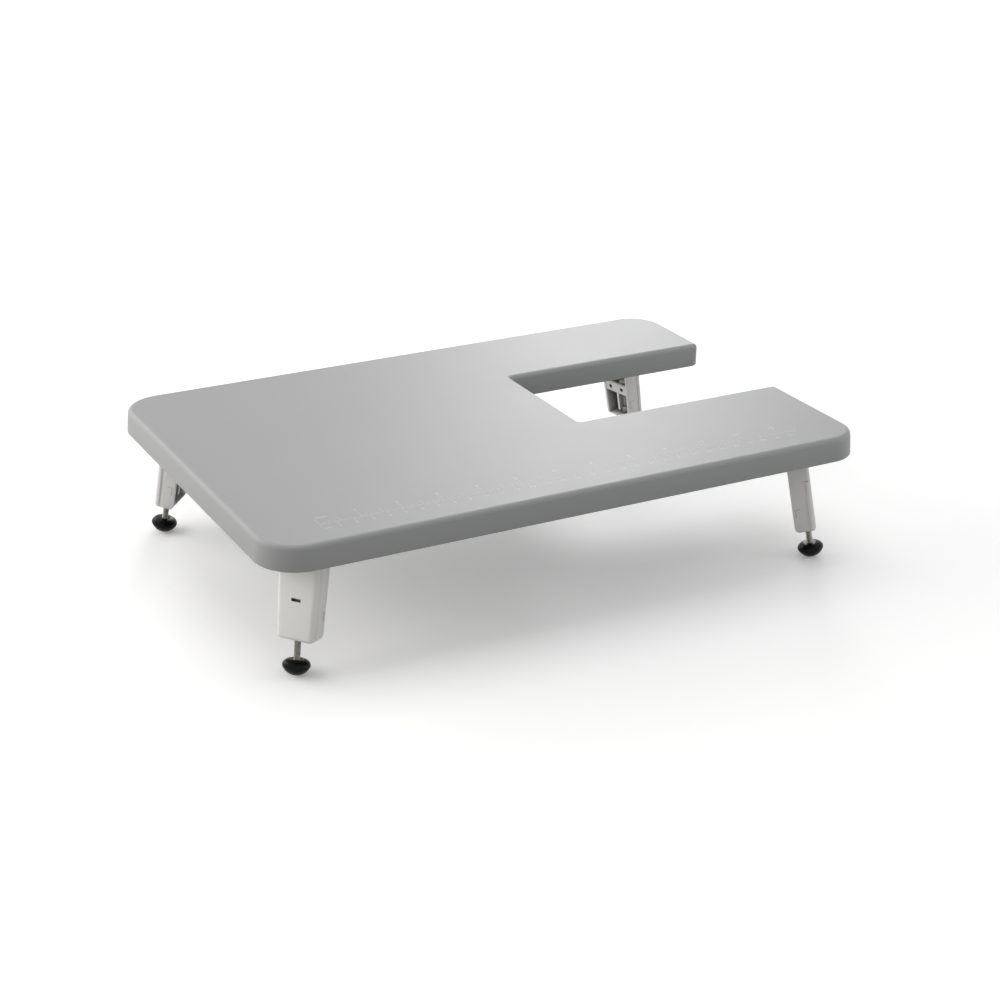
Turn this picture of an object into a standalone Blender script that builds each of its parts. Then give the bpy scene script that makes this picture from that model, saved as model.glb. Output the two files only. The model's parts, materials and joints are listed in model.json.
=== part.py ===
"""Extension table for a free-arm sewing machine.

A moulded top with a notch for the machine's arm stands on four channel legs. Each leg folds
inwards on a pin in a bracket under the top, and stands on a screw foot.
Metres, +Z up, +X to the notch side, -Y to the front. The floor is at z = 0.
"""

from math import atan2, cos, degrees, pi, radians, sin, tan

import bmesh
import bpy
from mathutils import Matrix, Vector

# Table top
TOP_LENGTH = 0.390
TOP_WIDTH = 0.260
TOP_HEIGHT = 0.0865
TOP_WALL = 0.0025
SKIRT_HEIGHT = 0.015
SKIRT_WALL = 0.0022
SKIRT_DRAFT = radians(3.8)
EDGE_ROUND = 0.0016
LEFT_CORNER_RADIUS = 0.025
RIGHT_CORNER_RADIUS = 0.021

# Notch for the free arm, open on the right
NOTCH_LENGTH = 0.1463
NOTCH_WIDTH = 0.0905
FRONT_ARM_WIDTH = 0.0966
NOTCH_MOUTH_RADIUS = 0.0028
NOTCH_MOUTH_FLARE = 0.2
NOTCH_CORNER_RADIUS = 0.002

# Legs
FOOT_INSET_X = 0.0198
FOOT_INSET_Y = 0.0196
LEG_SPLAY = radians(10.5)
HINGE_DROP = 0.0082
LEG_WIDTH_TOP = 0.027
LEG_WIDTH_BOTTOM = 0.0228
LEG_DEPTH = 0.0134
LEG_WALL = 0.002
LEG_FLOOR = 0.0032
LEG_ROUND = 0.0028
STUD_OFFSET = 0.0034
STUD_TO_FACE = 0.0052
STOP_GAP = 0.0003

# Features of a leg, heights above its lower end
FACE_SLOT_LENGTH = 0.0059
FACE_SLOT_HEIGHT = 0.0019
FACE_SLOT_UP = 0.0241
BAND_UP = 0.0215
BAND_HEIGHT = 0.007
BAND_WALL = 0.0018
BAND_WINDOW = 0.0026
BAND_WINDOW_SPACING = 0.0112
NUT_BOSS_DIAMETER = 0.0098
NUT_BOSS_HEIGHT = 0.009
COLUMN_DIAMETER = 0.007
CENTRE_RIB_WALL = 0.0018
GROOVE_FROM_FACE = 0.0048
GROOVE_WIDTH = 0.0008
GROOVE_DEPTH = 0.0004
GROOVE_END = 0.004
MARK_UP = 0.0166
MARK_LENGTH = 0.0036
MARK_DROP = 0.005
MARK_FROM_EDGE = 0.0012
MARK_WIDTH = 0.0005
HOOK_DEPTH = 0.0005

# Hinge
PIN_DIAMETER = 0.003
PIN_CLEARANCE = 0.00025
PIN_END_INSET = 0.0003
BARREL_RADIUS = 0.004
BARREL_LENGTH = 0.013
PLATE_WIDTH = 0.016
PLATE_WALL = 0.0022
PLATE_END_MARGIN = 0.004
BOSS_DROP = 0.006
BOSS_DIAMETER = 0.0064
BOSS_EMBED = 0.001
BOSS_FROM_PIN = (0.0095, 0.0175)
SEAT_GAP = 0.0003

# Bracket screw
SCREW_DIAMETER = 0.0025
SCREW_HEAD_DIAMETER = 0.0056
SCREW_HEAD_HEIGHT = 0.0018
SCREW_TIP_GAP = 0.0004
SCREW_RECESS = 0.0009

# Screw foot
FOOT_DIAMETER = 0.0163
FOOT_DOME = 0.0058
FOOT_SHOULDER = 0.0036
FOOT_COLLAR_DIAMETER = 0.0060
STUD_DIAMETER = 0.0039
STUD_CLEARANCE = 0.0003
STUD_SEAT = 0.0007
STUD_SHOW = 0.0113
STUD_ABOVE_LEG_END = 0.011
STUD_TRAVEL_IN = 0.008
STUD_CHAMFER = 0.0004
NUT_ACROSS_FLATS = 0.007
NUT_HEIGHT = 0.0032
NUT_UP = 0.0038

# Corners of the table: sign along X and Y, and the leg's plan angle from the X axis
CORNERS = {
    "fl": (-1, -1, radians(38)),
    "fr": (1, -1, radians(32)),
    "bl": (-1, 1, radians(41)),
    "br": (1, 1, radians(12)),
}

ROUND_SEGMENTS = 24
ARC_SEGMENTS = 8
CUT_MARGIN = 0.002

# Sizes that follow from the ones above
NOTCH_X = TOP_LENGTH / 2 - NOTCH_LENGTH
NOTCH_FRONT_Y = -TOP_WIDTH / 2 + FRONT_ARM_WIDTH
NOTCH_BACK_Y = NOTCH_FRONT_Y + NOTCH_WIDTH
FOOT_RADIUS = FOOT_DIAMETER / 2
DOME_RADIUS = (FOOT_RADIUS ** 2 + FOOT_DOME ** 2) / (2 * FOOT_DOME)
RIM_HEIGHT = DOME_RADIUS - (DOME_RADIUS - FOOT_DOME) * cos(LEG_SPLAY)
PIVOT_HEIGHT = TOP_HEIGHT - HINGE_DROP
LEG_REACH = (PIVOT_HEIGHT - RIM_HEIGHT + STUD_OFFSET * sin(LEG_SPLAY)) / cos(LEG_SPLAY)
FOOT_OUT = STUD_OFFSET * cos(LEG_SPLAY) + LEG_REACH * sin(LEG_SPLAY)
LEG_END = -LEG_REACH + FOOT_SHOULDER + STUD_SHOW
LEG_FACE = -STUD_OFFSET - STUD_TO_FACE
LEG_EDGE = LEG_FACE + LEG_DEPTH
LEG_STOP = (HINGE_DROP - TOP_WALL - STOP_GAP + LEG_FACE * sin(LEG_SPLAY)) / cos(LEG_SPLAY)
STUD_BORE_RADIUS = STUD_DIAMETER / 2 + STUD_CLEARANCE
STUD_BORE_TOP = STUD_ABOVE_LEG_END + STUD_TRAVEL_IN + STUD_CLEARANCE * 4
PLATE_TOP = HINGE_DROP - TOP_WALL - BOSS_DROP - SEAT_GAP
PLATE_UNDER = PLATE_TOP - PLATE_WALL
SCREW_TIP = HINGE_DROP - TOP_WALL - SCREW_RECESS - SCREW_TIP_GAP
SCREW_HOLE_RADIUS = SCREW_DIAMETER / 2 + SEAT_GAP

for leftover in list(bpy.data.objects):
    bpy.data.objects.remove(leftover, do_unlink=True)

PARTS = bpy.data.collections.new("extension_table")
CUTTERS = bpy.data.collections.new("cutters")
for group in (PARTS, CUTTERS):
    bpy.context.scene.collection.children.link(group)


def material(name, colour, roughness, metallic=0.0):
    """A Principled material with the colour and finish of one kind of piece."""
    made = bpy.data.materials.new(name)
    made.use_nodes = True
    shader = made.node_tree.nodes["Principled BSDF"]
    shader.inputs["Base Color"].default_value = (*colour, 1.0)
    shader.inputs["Roughness"].default_value = roughness
    shader.inputs["Metallic"].default_value = metallic
    return made


TOP_PLASTIC = material("top_plastic", (0.53, 0.53, 0.54), 0.42)
LEG_PLASTIC = material("leg_plastic", (0.50, 0.50, 0.51), 0.40)
BRACKET_PLASTIC = material("bracket_plastic", (0.45, 0.45, 0.46), 0.50)
FOOT_PLASTIC = material("foot_plastic", (0.012, 0.012, 0.013), 0.25)
STUD_STEEL = material("stud_steel", (0.55, 0.53, 0.50), 0.32, 1.0)
NUT_STEEL = material("nut_steel", (0.60, 0.58, 0.54), 0.35, 1.0)
PIN_STEEL = material("pin_steel", (0.58, 0.58, 0.58), 0.28, 1.0)
SCREW_STEEL = material("screw_steel", (0.50, 0.50, 0.50), 0.35, 1.0)


def to_object(name, bm, collection=CUTTERS):
    """Turn a bmesh into an object with its faces out. Pieces used only to cut stay hidden."""
    bmesh.ops.recalc_face_normals(bm, faces=bm.faces)
    mesh = bpy.data.meshes.new(name)
    bm.to_mesh(mesh)
    bm.free()
    made = bpy.data.objects.new(name, mesh)
    collection.objects.link(made)
    if collection is CUTTERS:
        made.hide_render = True
        made.display_type = "WIRE"
    return made


def block(name, low, high, width_at=None):
    """A box between two corners. With width_at, x counts from the leg's cheek at that height."""
    bm = bmesh.new()
    bmesh.ops.create_cube(bm, size=1.0)
    for vert in bm.verts:
        place = [high[i] if vert.co[i] > 0 else low[i] for i in range(3)]
        if width_at:
            side = 1 if place[0] > 0 else -1
            place[0] += side * width_at(place[2])
        vert.co = place
    return to_object(name, bm)


def rod(name, radius, length, centre=(0, 0, 0), along="Z", segments=ROUND_SEGMENTS):
    """A cylinder on a middle point, along one axis."""
    bm = bmesh.new()
    turn = {"X": Matrix.Rotation(pi / 2, 4, "Y"), "Z": Matrix.Identity(4)}[along]
    bmesh.ops.create_cone(bm, cap_ends=True, segments=segments, radius1=radius, radius2=radius,
                          depth=length, matrix=Matrix.Translation(centre) @ turn)
    return to_object(name, bm)


def turned(name, profile):
    """A solid of revolution about Z. The profile runs down its outer side."""
    mesh = bpy.data.meshes.new(name)
    edges = [(i, i + 1) for i in range(len(profile) - 1)]
    mesh.from_pydata([(r, 0.0, z) for r, z in profile], edges, [])
    made = bpy.data.objects.new(name, mesh)
    CUTTERS.objects.link(made)
    spin = made.modifiers.new("turn", "SCREW")
    spin.steps = ROUND_SEGMENTS
    spin.render_steps = ROUND_SEGMENTS
    spin.use_merge_vertices = True
    spin.merge_threshold = 0.00001
    return made


def combine(target, other, operation):
    """Cut or join another solid with a Boolean, the exact kind."""
    step = target.modifiers.new(other.name, "BOOLEAN")
    step.operation = operation
    step.object = other


def settle(made):
    """The object's mesh with its modifiers worked in, for sharing among copies."""
    bpy.context.view_layer.update()
    graph = bpy.context.evaluated_depsgraph_get()
    mesh = bpy.data.meshes.new_from_object(made.evaluated_get(graph))
    mesh.name = made.name
    bpy.data.objects.remove(made, do_unlink=True)
    return mesh


def piece(name, mesh, finish, parent=None, place=(0, 0, 0)):
    """A named part in the table's collection, on its parent's frame."""
    mesh.materials.clear()
    mesh.materials.append(finish)
    mesh.shade_smooth()
    mesh.set_sharp_from_angle(angle=radians(30))
    made = bpy.data.objects.new(name, mesh)
    PARTS.objects.link(made)
    made.parent = parent
    made.location = place
    return made


def arc_corner(before, corner, after, radius):
    """Points round a square corner of an outline."""
    corner = Vector(corner)
    back = (Vector(before) - corner).normalized()
    ahead = (Vector(after) - corner).normalized()
    centre = corner + radius * (back + ahead)
    for i in range(ARC_SEGMENTS + 1):
        angle = pi / 2 * i / ARC_SEGMENTS
        yield centre - radius * (ahead * cos(angle) + back * sin(angle))


def top_outline(grow, depth):
    """Outline of the top at a depth below its surface, grown outwards from the surface's edge."""
    right = TOP_LENGTH / 2 + grow
    back = TOP_WIDTH / 2 + grow
    left_round = LEFT_CORNER_RADIUS + grow
    right_round = RIGHT_CORNER_RADIUS + grow
    mouth = max(NOTCH_MOUTH_RADIUS + NOTCH_MOUTH_FLARE * depth + grow, EDGE_ROUND / 4)
    inner = max(NOTCH_CORNER_RADIUS - grow, EDGE_ROUND / 4)
    corners = [
        ((-right, -back), left_round),
        ((right, -back), right_round),
        ((right, NOTCH_FRONT_Y + grow), mouth),
        ((NOTCH_X + grow, NOTCH_FRONT_Y + grow), inner),
        ((NOTCH_X + grow, NOTCH_BACK_Y - grow), inner),
        ((right, NOTCH_BACK_Y - grow), mouth),
        ((right, back), right_round),
        ((-right, back), left_round),
    ]
    points = []
    for i, (corner, radius) in enumerate(corners):
        before = corners[i - 1][0]
        after = corners[(i + 1) % len(corners)][0]
        points.extend(arc_corner(before, corner, after, radius))
    return points


def drafted(name, grow, top, bottom, edge_round=0.0):
    """The top's outline drawn down with the skirt's draft, and its upper edge rounded."""
    bm = bmesh.new()
    upper = [bm.verts.new((p.x, p.y, top)) for p in top_outline(grow, -top)]
    roof = bm.faces.new(upper)
    drawn = bmesh.ops.extrude_face_region(bm, geom=[roof], use_keep_orig=True)["geom"]
    floor = next(item for item in drawn if isinstance(item, bmesh.types.BMFace))
    lower = top_outline(grow + (top - bottom) * tan(SKIRT_DRAFT), -bottom)
    for vert, point in zip(floor.verts, lower):
        vert.co = (point.x, point.y, bottom)
    if edge_round:
        bmesh.ops.bevel(bm, geom=list(roof.edges), offset=edge_round, offset_type="OFFSET",
                        segments=4, profile=0.5, affect="EDGES", clamp_overlap=False)
    return to_object(name, bm)


def leg_frame(corner):
    """Place of a leg's hinge pin and the inward direction in which that leg folds."""
    side, end, angle = CORNERS[corner]
    inward = Vector((-side * cos(angle), -end * sin(angle), 0.0))
    foot = Vector((side * (TOP_LENGTH / 2 - FOOT_INSET_X),
                   end * (TOP_WIDTH / 2 - FOOT_INSET_Y), PIVOT_HEIGHT))
    return foot + FOOT_OUT * inward, inward


def make_top():
    """The moulded top: a drafted shell with screw bosses on its underside."""
    shell = drafted("table_top_solid", 0.0, 0.0, -SKIRT_HEIGHT, EDGE_ROUND)
    inside = drafted("top_hollow", -SKIRT_WALL + TOP_WALL * tan(SKIRT_DRAFT), -TOP_WALL,
                     -SKIRT_HEIGHT - CUT_MARGIN)
    combine(shell, inside, "DIFFERENCE")
    holes = []
    for corner in CORNERS:
        pivot, inward = leg_frame(corner)
        for i, distance in enumerate(BOSS_FROM_PIN):
            spot = pivot + distance * inward
            middle = -TOP_WALL + (BOSS_EMBED - BOSS_DROP) / 2
            boss = rod(f"boss_{corner}_{i}", BOSS_DIAMETER / 2, BOSS_DROP + BOSS_EMBED,
                       (spot.x, spot.y, middle))
            combine(shell, boss, "UNION")
            depth = BOSS_DROP - SCREW_RECESS + CUT_MARGIN
            hole = rod(f"boss_hole_{corner}_{i}", SCREW_HOLE_RADIUS, depth,
                       (spot.x, spot.y, -TOP_WALL - SCREW_RECESS - depth / 2), segments=16)
            holes.append(hole)
    for hole in holes:
        combine(shell, hole, "DIFFERENCE")
    piece("table_top", settle(shell), TOP_PLASTIC, place=(0, 0, TOP_HEIGHT))


def leg_half_width(z):
    """Half the leg's width at a height along it, counted from the hinge pin."""
    share = z / LEG_END
    return (LEG_WIDTH_TOP + (LEG_WIDTH_BOTTOM - LEG_WIDTH_TOP) * share) / 2


def leg_solid():
    """The leg's outer body: its side outline drawn across, tapered, with rounded edges."""
    outline = [(LEG_FACE, LEG_END), (LEG_EDGE, LEG_END)]
    for i in range(ARC_SEGMENTS + 1):
        angle = pi / 2 * i / ARC_SEGMENTS
        outline.append((LEG_EDGE * cos(angle), LEG_EDGE * sin(angle)))
    outline += [(LEG_FACE + LEG_WALL, LEG_STOP), (LEG_FACE, LEG_STOP)]
    bm = bmesh.new()
    cheek = bm.faces.new([bm.verts.new((-leg_half_width(z), y, z)) for y, z in outline])
    drawn = bmesh.ops.extrude_face_region(bm, geom=[cheek], use_keep_orig=True)["geom"]
    for item in drawn:
        if isinstance(item, bmesh.types.BMVert):
            item.co.x = -item.co.x
    tiny = LEG_WALL / 100

    def rounded(edge):
        """The long edges of the outer face and every edge round the lower end."""
        a, b = (v.co for v in edge.verts)
        same_side = a.x * b.x > 0
        on_face = abs(a.y - LEG_FACE) < tiny and abs(b.y - LEG_FACE) < tiny
        at_end = abs(a.z - LEG_END) < tiny and abs(b.z - LEG_END) < tiny
        return at_end or (same_side and on_face)

    edges = [edge for edge in bm.edges if rounded(edge)]
    bmesh.ops.bevel(bm, geom=edges, offset=LEG_ROUND, offset_type="OFFSET", segments=4,
                    profile=0.5, affect="EDGES", clamp_overlap=False)
    return to_object("leg_body", bm)


def make_leg():
    """One moulded channel leg, open on its inner side, around its hinge pin."""
    leg = leg_solid()
    hollow = block("leg_hollow", (-1e-9, LEG_FACE + LEG_WALL, LEG_END + LEG_FLOOR),
                   (1e-9, LEG_EDGE + CUT_MARGIN, LEG_EDGE + CUT_MARGIN),
                   lambda z: leg_half_width(z) - LEG_WALL)
    combine(leg, hollow, "DIFFERENCE")
    stud_y = -STUD_OFFSET
    band_low = LEG_END + BAND_UP
    band_high = band_low + BAND_HEIGHT
    band = block("leg_band", (-1e-9, LEG_EDGE - BAND_WALL - STOP_GAP, band_low),
                 (1e-9, LEG_EDGE - STOP_GAP, band_high),
                 lambda z: leg_half_width(z) - LEG_WALL / 2)
    combine(leg, band, "UNION")
    sunk = LEG_END + LEG_FLOOR / 2
    boss_top = LEG_END + NUT_BOSS_HEIGHT
    boss = rod("nut_boss", NUT_BOSS_DIAMETER / 2, boss_top - sunk, (0, stud_y, (boss_top + sunk) / 2))
    combine(leg, boss, "UNION")
    column_top = LEG_END + FACE_SLOT_UP + FACE_SLOT_HEIGHT / 2 + LEG_WALL
    column = rod("stud_column", COLUMN_DIAMETER / 2, column_top - sunk,
                 (0, stud_y, (column_top + sunk) / 2))
    combine(leg, column, "UNION")
    rib = block("centre_rib", (-CENTRE_RIB_WALL / 2, stud_y, boss_top - LEG_FLOOR / 2),
                (CENTRE_RIB_WALL / 2, LEG_EDGE - BAND_WALL / 2 - STOP_GAP, band_low + BAND_HEIGHT / 3))
    combine(leg, rib, "UNION")
    bore = rod("stud_bore", STUD_BORE_RADIUS, STUD_BORE_TOP + CUT_MARGIN,
               (0, stud_y, LEG_END + (STUD_BORE_TOP - CUT_MARGIN) / 2))
    combine(leg, bore, "DIFFERENCE")
    half = NUT_ACROSS_FLATS / 2 + SEAT_GAP
    corner_reach = NUT_ACROSS_FLATS / 2 / cos(pi / 6) + SEAT_GAP
    pocket = block("nut_pocket", (-half, stud_y - corner_reach, LEG_END + NUT_UP - SEAT_GAP),
                   (half, LEG_EDGE + CUT_MARGIN, LEG_END + NUT_UP + NUT_HEIGHT + SEAT_GAP))
    combine(leg, pocket, "DIFFERENCE")
    slot = block("face_slot", (-FACE_SLOT_LENGTH / 2, LEG_FACE - CUT_MARGIN,
                               LEG_END + FACE_SLOT_UP - FACE_SLOT_HEIGHT / 2),
                 (FACE_SLOT_LENGTH / 2, LEG_FACE + LEG_WALL + CUT_MARGIN / 4,
                  LEG_END + FACE_SLOT_UP + FACE_SLOT_HEIGHT / 2))
    combine(leg, slot, "DIFFERENCE")
    pin_hole = rod("pin_hole", PIN_DIAMETER / 2 + PIN_CLEARANCE, LEG_WIDTH_TOP + CUT_MARGIN, along="X")
    combine(leg, pin_hole, "DIFFERENCE")
    for side in (-1, 1):
        middle = (band_low + band_high) / 2
        x = side * BAND_WINDOW_SPACING / 2
        window = block(f"band_window_{side}", (x - BAND_WINDOW / 2, LEG_EDGE - 2 * BAND_WALL,
                                               middle - BAND_WINDOW / 2),
                       (x + BAND_WINDOW / 2, LEG_EDGE + CUT_MARGIN, middle + BAND_WINDOW / 2))
        combine(leg, window, "DIFFERENCE")
        for cutter in cheek_grooves(side):
            combine(leg, cutter, "DIFFERENCE")
    return settle(leg)


def cheek_grooves(side):
    """Cutters for one cheek: the long shadow groove and the hooked parting mark."""
    groove_y = LEG_FACE + GROOVE_FROM_FACE
    mark_high = LEG_EDGE - MARK_FROM_EDGE
    mark_z = LEG_END + MARK_UP
    spans = {
        "groove": ((groove_y, groove_y + GROOVE_WIDTH), (LEG_END + GROOVE_END, -GROOVE_END),
                   GROOVE_DEPTH),
        "mark": ((mark_high - MARK_LENGTH, mark_high), (mark_z, mark_z + MARK_WIDTH), GROOVE_DEPTH),
        "hook": ((mark_high - MARK_WIDTH * 2, mark_high - MARK_WIDTH),
                 (mark_z - MARK_DROP, mark_z + MARK_WIDTH / 2), HOOK_DEPTH),
    }
    for name, (across, along, depth) in spans.items():
        cutter = block(f"{name}_{side}", (-depth, across[0], along[0]), (depth, across[1], along[1]))
        for vert in cutter.data.vertices:
            outwards = vert.co.x > 0
            reach = leg_half_width(vert.co.z) + (CUT_MARGIN if outwards else -depth)
            vert.co.x = side * reach
        if side < 0:
            cutter.data.flip_normals()
        yield cutter


def make_bracket():
    """The hinge bracket: a barrel for the pin and a plate screwed up to the bosses."""
    end = BOSS_FROM_PIN[-1] + PLATE_END_MARGIN
    bracket = block("bracket_plate", (-PLATE_WIDTH / 2, 0.0, PLATE_UNDER),
                    (PLATE_WIDTH / 2, end, PLATE_TOP))
    barrel = rod("bracket_barrel", BARREL_RADIUS, BARREL_LENGTH, along="X")
    combine(bracket, barrel, "UNION")
    bore = rod("barrel_bore", PIN_DIAMETER / 2 + PIN_CLEARANCE, PLATE_WIDTH + CUT_MARGIN, along="X")
    combine(bracket, bore, "DIFFERENCE")
    for i, distance in enumerate(BOSS_FROM_PIN):
        hole = rod(f"plate_hole_{i}", SCREW_HOLE_RADIUS, PLATE_WALL + CUT_MARGIN,
                   (0, distance, (PLATE_TOP + PLATE_UNDER) / 2), segments=16)
        combine(bracket, hole, "DIFFERENCE")
    return settle(bracket)


def make_screw():
    """A pan head screw, point up, its head under the plate."""
    shank = SCREW_DIAMETER / 2
    head = SCREW_HEAD_DIAMETER / 2
    under = PLATE_UNDER - SEAT_GAP
    screw = turned("bracket_screw", [
        (0, SCREW_TIP),
        (shank / 2, SCREW_TIP),
        (shank, SCREW_TIP - shank),
        (shank, under),
        (head, under),
        (head, under - SCREW_HEAD_HEIGHT / 2),
        (head * 0.7, under - SCREW_HEAD_HEIGHT),
        (0, under - SCREW_HEAD_HEIGHT),
    ])
    return settle(screw)


def make_pad():
    """The domed foot around its stud, from the collar down. Heights count from its rim."""
    hole_floor = -STUD_SEAT - STUD_CLEARANCE
    collar = FOOT_COLLAR_DIAMETER / 2
    profile = [(0, hole_floor), (STUD_BORE_RADIUS, hole_floor), (STUD_BORE_RADIUS, FOOT_SHOULDER),
               (collar, FOOT_SHOULDER)]
    bulge = FOOT_RADIUS - collar
    for i in range(1, ARC_SEGMENTS):
        share = i / ARC_SEGMENTS
        angle = pi / 2 * share
        profile.append((collar + bulge * sin(angle), FOOT_SHOULDER * cos(angle)))
    centre = DOME_RADIUS - FOOT_DOME
    start = atan2(-centre, FOOT_RADIUS)
    for i in range(ARC_SEGMENTS + 1):
        angle = start + (-pi / 2 - start) * i / ARC_SEGMENTS
        radius = DOME_RADIUS * cos(angle) if i < ARC_SEGMENTS else 0.0
        profile.append((radius, centre + DOME_RADIUS * sin(angle)))
    return settle(turned("foot_pad", profile))


def make_stud():
    """The plain length of the threaded stud. Heights count from the foot's rim."""
    radius = STUD_DIAMETER / 2
    top = LEG_END + LEG_REACH + STUD_ABOVE_LEG_END
    return settle(turned("foot_stud", [
        (0, top),
        (radius - STUD_CHAMFER, top),
        (radius, top - STUD_CHAMFER),
        (radius, -STUD_SEAT),
        (0, -STUD_SEAT),
    ]))


def make_nut():
    """The hexagon nut held in the leg, two flats against the pocket's sides."""
    nut = rod("foot_nut", NUT_ACROSS_FLATS / 2 / cos(pi / 6), NUT_HEIGHT, segments=6)
    nut.data.transform(Matrix.Rotation(pi / 6 if nut.dimensions.x > nut.dimensions.y else 0, 4, "Z"))
    bore = rod("nut_bore", STUD_BORE_RADIUS, NUT_HEIGHT + CUT_MARGIN)
    combine(nut, bore, "DIFFERENCE")
    return settle(nut)


def empty(name, place, parent=None, turn=(0, 0, 0)):
    """A joint frame that carries the pieces on it."""
    made = bpy.data.objects.new(name, None)
    PARTS.objects.link(made)
    made.parent = parent
    made.location = place
    made.rotation_euler = turn
    made.empty_display_size = 0.01
    return made


def make_corners():
    """Place a bracket, pin, leg and screw foot at each corner of the table."""
    bracket = make_bracket()
    screw = make_screw()
    leg = make_leg()
    nut = make_nut()
    stud = make_stud()
    pad = make_pad()
    pin = settle(rod("hinge_pin", PIN_DIAMETER / 2, LEG_WIDTH_TOP - 2 * PIN_END_INSET, along="X"))
    nut_z = LEG_END + NUT_UP + NUT_HEIGHT / 2
    for corner in CORNERS:
        pivot, inward = leg_frame(corner)
        hinge = empty(f"hinge_{corner}", pivot, turn=(0, 0, atan2(-inward.x, inward.y)))
        piece(f"hinge_bracket_{corner}", bracket, BRACKET_PLASTIC, hinge)
        piece(f"hinge_pin_{corner}", pin, PIN_STEEL, hinge)
        for i, distance in enumerate(BOSS_FROM_PIN):
            piece(f"bracket_screw_{corner}_{i + 1}", screw, SCREW_STEEL, hinge, (0, distance, 0))
        fold = empty(f"fold_{corner}", (0, 0, 0), hinge, (-LEG_SPLAY, 0, 0))
        piece(f"leg_{corner}", leg, LEG_PLASTIC, fold)
        piece(f"foot_nut_{corner}", nut, NUT_STEEL, fold, (0, -STUD_OFFSET, nut_z))
        foot = empty(f"foot_{corner}", (0, -STUD_OFFSET, -LEG_REACH), fold)
        piece(f"foot_stud_{corner}", stud, STUD_STEEL, foot)
        piece(f"foot_pad_{corner}", pad, FOOT_PLASTIC, foot)
        print(corner, "pivot", [round(v, 5) for v in pivot], "inward", [round(v, 5) for v in inward])
    print("leg end", round(LEG_END, 5), "stop", round(LEG_STOP, 5), "fold", round(90 + degrees(LEG_SPLAY), 1))


make_top()
make_corners()
bpy.context.view_layer.update()
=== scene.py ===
"""Looks of an extension table for a free-arm sewing machine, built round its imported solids.

The file is laid out as an add-on and run as a script. Metres, in the frame of the solids:
+Z up, +X to the notch side, -Y to the front.
"""

import json
from math import atan2, cos, pi, radians, sin, tan

import bmesh
import bpy
from bpy.props import FloatProperty, FloatVectorProperty, PointerProperty
from mathutils import Matrix, Vector


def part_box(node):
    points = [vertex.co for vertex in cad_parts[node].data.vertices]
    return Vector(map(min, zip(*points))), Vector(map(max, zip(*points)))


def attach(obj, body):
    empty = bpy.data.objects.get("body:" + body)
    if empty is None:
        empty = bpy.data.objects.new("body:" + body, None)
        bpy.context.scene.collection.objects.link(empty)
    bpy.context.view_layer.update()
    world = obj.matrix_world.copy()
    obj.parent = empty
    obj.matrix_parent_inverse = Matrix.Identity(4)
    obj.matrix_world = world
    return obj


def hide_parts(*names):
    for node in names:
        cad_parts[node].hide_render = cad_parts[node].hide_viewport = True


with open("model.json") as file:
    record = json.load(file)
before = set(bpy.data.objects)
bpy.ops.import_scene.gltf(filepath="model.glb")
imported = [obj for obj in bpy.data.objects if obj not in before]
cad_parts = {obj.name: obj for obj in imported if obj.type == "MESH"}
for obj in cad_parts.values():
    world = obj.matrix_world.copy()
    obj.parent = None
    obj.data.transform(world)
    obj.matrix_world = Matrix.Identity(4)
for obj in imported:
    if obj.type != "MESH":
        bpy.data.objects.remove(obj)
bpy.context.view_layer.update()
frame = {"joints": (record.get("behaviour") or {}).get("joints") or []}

bl_info = {
    "name": "Extension table",
    "version": (1, 0, 0),
    "blender": (4, 5, 0),
    "location": "3D View > Sidebar > Extension table",
    "description": "Builds the looks of a sewing machine extension table round its solids",
    "category": "Add Mesh",
}

JOINTS = {joint["name"]: joint for joint in frame["joints"]}
CORNERS = {"fl": "front_left", "fr": "front_right", "bl": "back_left", "br": "back_right"}
TOP_LOW, TOP_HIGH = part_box("table_top")
SURFACE = TOP_HIGH.z
SMOOTH_ANGLE = radians(32)
BREAK_ANGLE = radians(40)
SLIVER = 2e-6
CUT = 0.002


def linear(code):
    """The linear colour of an sRGB hex value."""
    values = [int(code[i:i + 2], 16) / 255 for i in (1, 3, 5)]
    return [v / 12.92 if v <= 0.04045 else ((v + 0.055) / 1.055) ** 2.4 for v in values]


def length(name, default, description):
    """A length that a user may change."""
    return FloatProperty(name=name, description=description, default=default, unit="LENGTH",
                         subtype="DISTANCE", precision=5, min=0.0)


def colour(name, code, description):
    """A colour that a user may change, from its sRGB hex value."""
    return FloatVectorProperty(name=name, description=description, default=linear(code),
                               subtype="COLOR", size=3, min=0.0, max=1.0)


class TopSizes(bpy.types.PropertyGroup):
    """Sizes of the moulded top."""

    length: length("Length", 0.390, "Length of the work surface")
    width: length("Width", 0.260, "Width of the work surface")
    wall: length("Wall", 0.0025, "Thickness of the work surface")
    skirt: length("Skirt height", SURFACE - TOP_LOW.z, "Height of the skirt")
    skirt_wall: length("Skirt wall", 0.0022, "Thickness of the skirt")
    draft: FloatProperty(name="Draft", description="Slope of the skirt from upright",
                         default=radians(3.8), subtype="ANGLE", unit="ROTATION")
    edge_round: length("Edge round", 0.0030, "Rounding of the upper edge")
    left_round: length("Left corners", 0.025, "Radius of the two left corners, from above")
    right_round: length("Right corners", 0.021, "Radius of the two right corners, from above")
    notch_length: length("Notch length", 0.1463, "Reach of the notch from the right edge")
    notch_width: length("Notch width", 0.0905, "Width of the notch")
    front_arm: length("Front arm", 0.0966, "Width of the arm in front of the notch")
    mouth_round: length("Mouth round", 0.0028, "Radius of the notch's outer corners")
    notch_round: length("Notch round", 0.002, "Radius of the notch's inner corners")


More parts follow.
